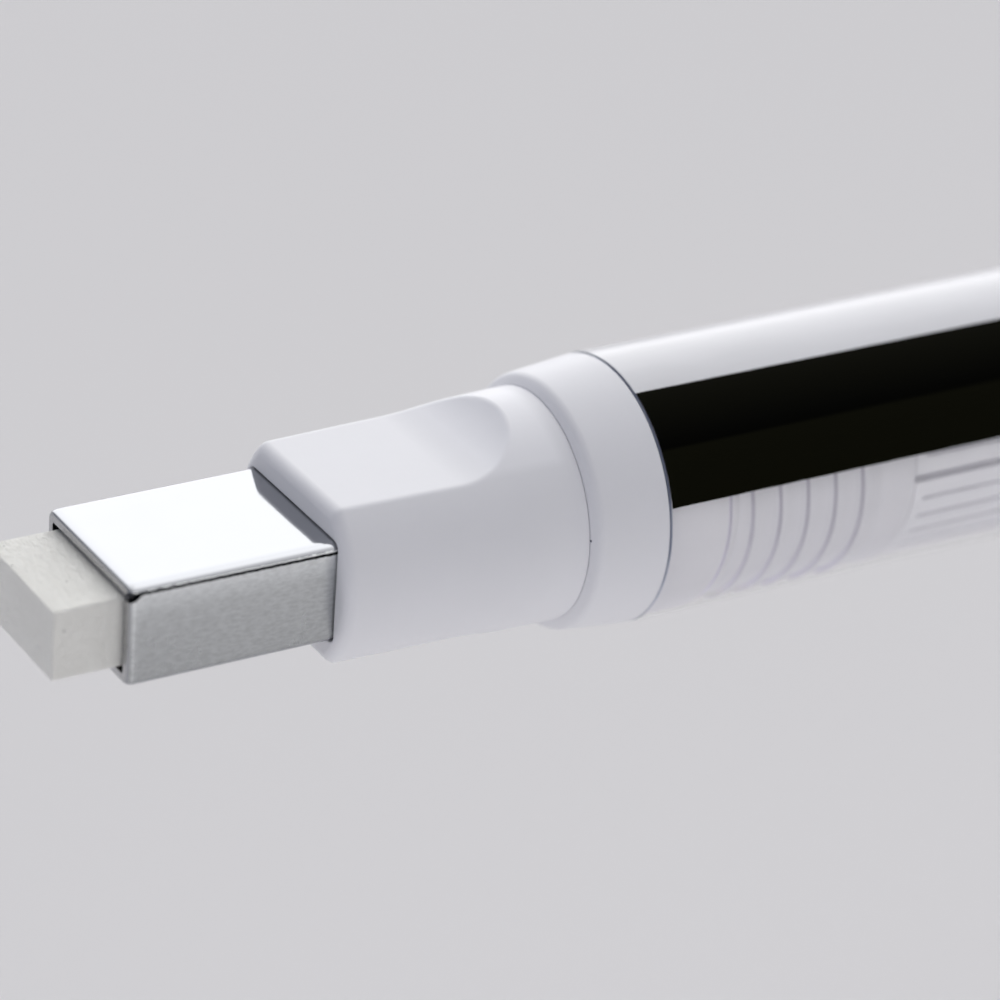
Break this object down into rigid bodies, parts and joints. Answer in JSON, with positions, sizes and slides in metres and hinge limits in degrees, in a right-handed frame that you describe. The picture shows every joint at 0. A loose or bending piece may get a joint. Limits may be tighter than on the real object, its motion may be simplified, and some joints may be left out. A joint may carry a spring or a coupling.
{
  "type": "push-button eraser holder",
  "caption": "Pen-type push-button holder for a flat eraser stick: folded metal sleeve, flatted white nose, screw collar, clear striped barrel, clip and push button.",
  "frame": {"origin": "centre of the metal sleeve's mouth, on the pen's long axis", "axes": "+X along the pen from the eraser tip to the push button, +Z square to the stick's wide face and to the nose's flats"},
  "size_m": [0.1204, 0.012, 0.0094],
  "materials": {
    "eraser_vinyl": "matte",
    "sleeve_steel": "bright, satin on the narrow sides",
    "white_plastic": "fine satin",
    "soft_insert": "matte",
    "ring_brass": "turned",
    "spring_steel": "drawn wire",
    "clear_plastic": "polished clear, with a black and a white printed stripe",
    "jaw_plastic": "moulded",
    "tube_plastic": "extruded",
    "clip_steel": "bright"
  },
  "bodies": {
    "barrel": {"barrel": "clear_plastic", "clutch_housing": "white_plastic", "tail_sleeve": "white_plastic", "return_spring": "spring_steel"},
    "nose": {"nose_cone": "white_plastic", "tip_sleeve": "sleeve_steel", "eraser_retainer": "soft_insert"},
    "collar": {"front_collar": "white_plastic"},
    "clutch": {"clutch_ring": "ring_brass"},
    "eraser": {"eraser_stick": "eraser_vinyl"},
    "carrier": {"chuck_holder": "jaw_plastic", "guide_tube": "tube_plastic"},
    "jaw_upper": {"chuck_jaw_upper": "jaw_plastic"},
    "jaw_lower": {"chuck_jaw_lower": "jaw_plastic"},
    "button": {"knock_button": "white_plastic"},
    "clip": {"pocket_clip": "clip_steel"}
  },
  "joints": [
    {"name": "knock", "type": "slide", "parent": "barrel", "child": "carrier", "axis": [-1, 0, 0], "range_m": [0, 0.004], "deforming": ["return_spring"]},
    {"name": "ring_shift", "type": "slide", "parent": "barrel", "child": "clutch", "axis": [-1, 0, 0], "range_m": [0, 0.0012]},
    {"name": "jaw_upper_open", "type": "hinge", "parent": "carrier", "child": "jaw_upper", "pos_m": [0.0432, 0, 0.0023], "axis": [0, 1, 0], "range_deg": [0, 1.2]},
    {"name": "jaw_lower_open", "type": "hinge", "parent": "carrier", "child": "jaw_lower", "pos_m": [0.0432, 0, -0.0023], "axis": [0, -1, 0], "range_deg": [0, 1.2]},
    {"name": "eraser_feed", "type": "slide", "parent": "clutch", "child": "eraser", "axis": [-1, 0, 0], "range_m": [-0.00242, 0.051]},
    {"name": "button_pull", "type": "slide", "parent": "carrier", "child": "button", "axis": [1, 0, 0], "range_m": [0, 0.02]},
    {"name": "clip_flex", "type": "hinge", "parent": "barrel", "child": "clip", "pos_m": [0.1072, 0.00528, -0.00214], "axis": [0, -0.3746, -0.9272], "range_deg": [0, 4]},
    {"name": "nose_draw", "type": "slide", "parent": "barrel", "child": "nose", "axis": [-1, 0, 0], "range_m": [0, 0.00616]},
    {"name": "collar_turn", "type": "hinge", "parent": "nose", "child": "collar", "pos_m": [0.018, 0, 0], "axis": [-1, 0, 0], "range_deg": [0, 1980.1]}
  ],
  "couplings": [
    {"joint": "ring_shift", "follows": "knock", "ratio": 0.3},
    {"joint": "jaw_upper_open", "follows": "knock", "rad_per_m": 5.235},
    {"joint": "jaw_lower_open", "follows": "knock", "rad_per_m": 5.235},
    {"joint": "collar_turn", "follows": "nose_draw", "rad_per_m": 5610}
  ]
}
